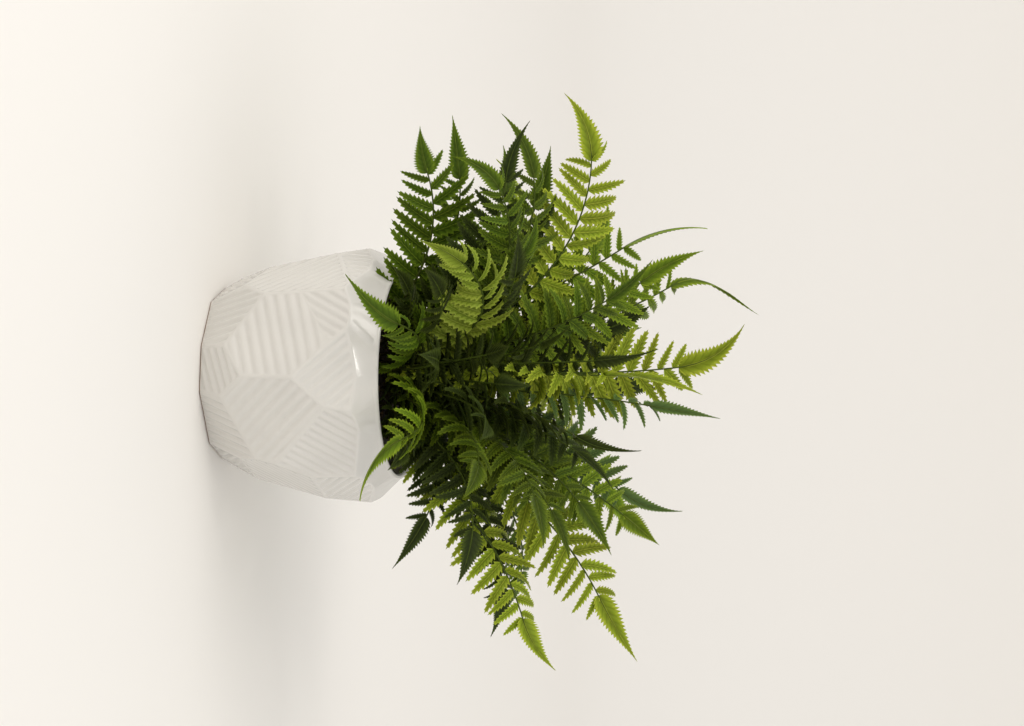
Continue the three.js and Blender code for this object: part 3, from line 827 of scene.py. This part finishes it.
def sideWidth(t):
    # a strap with nearly parallel sides, drawn in quickly at its tip
    return 0.15 * min(1.0, (t / 0.12 + 0.02)) ** 0.5 * max(0.0, 1.004 - t ** 2.6) ** 0.9


def endWidth(t):
    # broad low down, then a long concave taper to a drip tip
    return 0.172 * max(0.0, (t + 0.002) ** 0.4 * (1.003 - t) ** 1.6) / 0.4


def copyLeaf(blank, tint):
    copy = bpy.data.objects.new("leaf", blank.data.copy())
    bpy.context.collection.objects.link(copy)
    values = copy.data.attributes["tint"].data
    values.foreach_set("value", [tint] * len(values))
    return copy


def placeSideLeaf(blank, root, along, over, up, length, width, droop, sickle, tint):
    copy = copyLeaf(blank, tint)
    for vertex in copy.data.vertices:
        x, y, z = vertex.co
        x += sickle * y * y
        angle = droop * y
        run = math.sin(angle) / droop
        drop = (1 - math.cos(angle)) / droop
        vertex.co = root + (over * x * width + along * (run + z * math.sin(angle))
                            + up * (z * math.cos(angle) - drop)) * length
    return copy


def placeEndLeaf(blank, frond, root, wide, tint):
    steps = frondShape["tipSteps"]
    scale = frondShape["usualTip"] * (frond["leaf"] / frondShape["usualTip"]) ** 0.3 * wide
    spots, frames = [root.copy()], []
    spot = root.copy()
    for i in range(steps + 1):
        t = (i + 0.5) / steps
        heading = frond["heading"] + frond["swing"] + frond["leafSwing"] * t
        forward = pointing(heading, frond["fall"] + frond["curl"] * t)
        frames.append(bladeFrame(heading, frond["roll"] + frond["leafTurn"], forward))
        spot = spot + forward * frond["leaf"] / steps
        spots.append(spot.copy())
    copy = copyLeaf(blank, tint)
    for vertex in copy.data.vertices:
        x, y, z = vertex.co
        at = min(max(y, 0), 1) * steps
        i = min(int(at), steps - 1)
        across, up = frames[i]
        middle = spots[i].lerp(spots[i + 1], at - i)
        vertex.co = middle + (across * x + up * z) * scale
    return copy, spots


def makeStem(path, leafSpots):
    curve = bpy.data.curves.new("stem", "CURVE")
    curve.dimensions = "3D"
    curve.bevel_depth = 1.0
    curve.bevel_resolution = 1
    curve.use_fill_caps = True
    points = path + leafSpots[2:16:3]
    spline = curve.splines.new("POLY")
    spline.points.add(len(points) - 1)
    last = len(path) - 1
    base, tip = frondShape["stemBase"], frondShape["stemTip"]
    for i, spot in enumerate(points):
        spline.points[i].co = (*spot, 1)
        t = i / last
        thick = base + (tip - base) * min(t, 1)
        beyond = max(0, i - last) / (len(points) - last)
        spline.points[i].radius = thick * (1 - 0.8 * beyond)
    stem = bpy.data.objects.new("stem", curve)
    bpy.context.collection.objects.link(stem)
    activate(stem)
    bpy.ops.object.convert(target="MESH")
    bpy.ops.object.shade_smooth()
    return bpy.context.object


def makeFrond(name, row, sideBlank, endBlank, stemSkin, leafSkins):
    chance = random.Random(name)
    frond = frondValues(row)
    path = stemPath(frond)
    tone = chance.uniform(0.3, 0.7)
    limp, level = limpFronds.get(name, (frondShape["droop"], frondShape["level"]))
    endLeaf, leafSpots = placeEndLeaf(endBlank, frond, pointAlong(path, 0.985),
                                      slimTips.get(name, 1.0), tone)
    leaves = [endLeaf]
    for k in range(frondShape["pairs"]):
        for side in (-1, 1):
            back = frondShape["firstPair"] + (k + (0.42 if side > 0 else 0.0)) * frondShape["spacing"]
            t = 1 - back / frond["length"]
            if t < frondShape["bareStem"]:
                continue
            forward = stemDirection(frond, t)
            across, up = bladeFrame(headingAt(frond, t), frond["roll"] + chance.uniform(-9, 9), forward)
            usual = min(frondShape["steepest"], frondShape["slant"] + 1.6 * k)
            slant = math.radians(usual + chance.uniform(-8, 8))
            along = forward * math.cos(slant) + across * side * math.sin(slant)
            skyward = Vector((0, 0, 1)) - along * along.z
            up = (up * (1 - level) + skyward.normalized() * level).normalized()
            over = along.cross(up).normalized()
            young = frondShape["youngLeaf"]
            grow = (young + (1 - young) * smoothStep(-1.5, 4.5, k)) * (1 - 0.03 * max(0, k - 6))
            length = frond["side"] * grow * chance.uniform(0.93, 1.07)
            sickle = frondShape["sickle"] * (1 if over.dot(forward) > 0 else -1)
            tilt = chance.uniform(-frondShape["flapping"], frondShape["flapping"])
            over, up = turned(over, up, tilt)
            droop = max(frondShape["leastDroop"], limp * chance.uniform(0.3, 1.5))
            leaves.append(placeSideLeaf(sideBlank, pointAlong(path, t), along, over, up, length,
                                        chance.uniform(0.92, 1.1), droop, sickle,
                                        tone + chance.uniform(-0.2, 0.2)))
    for leaf in leaves:
        leaf.data.materials.clear()
        leaf.data.materials.append(leafSkins[frond["tone"]])
    stem = makeStem(path, leafSpots)
    stem.data.materials.clear()
    stem.data.materials.append(stemSkin)
    piece = joinAll(leaves + [stem], name + "_leafy")
    piece.data.transform(Matrix.Scale(mm, 4))
    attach(piece, "root")
    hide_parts(name)
    return piece


def makeFronds():
    sideBlank = leafBlank("sideBlank", 18, 2, sideWidth, 0.34, 0.024)
    endBlank = leafBlank("endBlank", 40, 4, endWidth, 0.2, 0.014)
    stemSkin = makeStemMaterial()
    leafSkins = {tone: makeLeafMaterial(tone) for tone in leafLooks}
    faces = 0
    for name, row in fronds.items():
        faces += len(makeFrond(name, row, sideBlank, endBlank, stemSkin, leafSkins).data.polygons)
    for blank in (sideBlank, endBlank):
        bpy.data.objects.remove(blank)
    print("fronds:", len(fronds), "with", faces, "faces")


studio = {
    "paper": (0.86, 0.838, 0.807), "wallAt": 1.3, "curve": 0.5,
    "world": (0.97, 0.955, 0.93), "worldStrength": 0.9,
    "keyWatts": 12, "keyColour": (1.0, 0.96, 0.90), "sparkWatts": 3,
    "fillWatts": 2, "fillColour": (0.95, 0.97, 1.0),
}
cameraView = {"place": (0, -1.443, 0.447), "pitch": -10.7, "yaw": 0.31, "roll": 0.6, "lens": 88.7}


def makeBackdrop():
    deselectAll()
    bpy.ops.mesh.primitive_plane_add(size=8, location=(0, studio["wallAt"] - 4, 0))
    paper = newest("backdrop")
    bakePlace(paper)
    clearSelection(paper, "EDGE")
    for edge in paper.data.edges:
        edge.select = all(paper.data.vertices[i].co.y > studio["wallAt"] - 0.01 for i in edge.vertices)
    editMode()
    centre = (0, studio["wallAt"], studio["curve"])
    bpy.ops.mesh.spin(steps=16, angle=math.radians(-90), center=centre, axis=(1, 0, 0))
    bpy.ops.mesh.extrude_region_move(TRANSFORM_OT_translate={"value": (0, 0, 3)})
    bpy.ops.mesh.select_all(action="SELECT")
    bpy.ops.mesh.normals_make_consistent(inside=False)
    objectMode()
    bpy.ops.object.shade_smooth()
    material, _, _, shader = startMaterial("paleFloor")
    shader.inputs["Base Color"].default_value = (*studio["paper"], 1)
    shader.inputs["Roughness"].default_value = 0.75
    paper.data.materials.append(material)


def addLight(name, watts, colour, size, place, target):
    data = bpy.data.lights.new(name, "AREA")
    data.energy = watts
    data.color = colour
    data.shape = "RECTANGLE"
    data.size, data.size_y = size
    light = bpy.data.objects.new(name, data)
    bpy.context.collection.objects.link(light)
    light.location = place
    light.rotation_euler = (Vector(target) - Vector(place)).to_track_quat("-Z", "Y").to_euler()


def addLights():
    world = bpy.data.worlds.new("studioAir")
    bpy.context.scene.world = world
    world.use_nodes = True
    world.node_tree.nodes["Background"].inputs[0].default_value = (*studio["world"], 1)
    world.node_tree.nodes["Background"].inputs[1].default_value = studio["worldStrength"]
    addLight("key", studio["keyWatts"], studio["keyColour"], (1.2, 0.9), (-1.2, -0.9, 1.5), (0, 0, 0.12))
    addLight("spark", studio["sparkWatts"], studio["keyColour"], (0.3, 0.2), (-0.35, -1.3, 1.7), (0, 0, 0.1))
    addLight("fill", studio["fillWatts"], studio["fillColour"], (1.4, 1.4), (1.6, -0.9, 1.0), (0, 0, 0.12))


def addCamera():
    yaw = math.radians(cameraView["yaw"])
    pitch = math.radians(cameraView["pitch"])
    roll = math.radians(cameraView["roll"])
    ahead = Vector((-math.sin(yaw) * math.cos(pitch), math.cos(yaw) * math.cos(pitch), math.sin(pitch)))
    right = ahead.cross(Vector((0, 0, 1))).normalized()
    up = right.cross(ahead)
    turnedRight, turnedUp = turned(right, up, roll)
    data = bpy.data.cameras.new("camera")
    data.lens = cameraView["lens"]
    data.sensor_width = 36
    camera = bpy.data.objects.new("camera", data)
    bpy.context.collection.objects.link(camera)
    axes = Matrix((turnedUp, -turnedRight, -ahead)).transposed()  # the camera lies on its side
    camera.matrix_world = Matrix.Translation(Vector(cameraView["place"])) @ axes.to_4x4()
    bpy.context.scene.camera = camera
    bpy.context.scene.view_settings.view_transform = "Standard"


makePot()
makeSoil()
makeBark()
makeCrown()
print("soil, bark and crown done")
makeFronds()
makeBackdrop()
addLights()
addCamera()
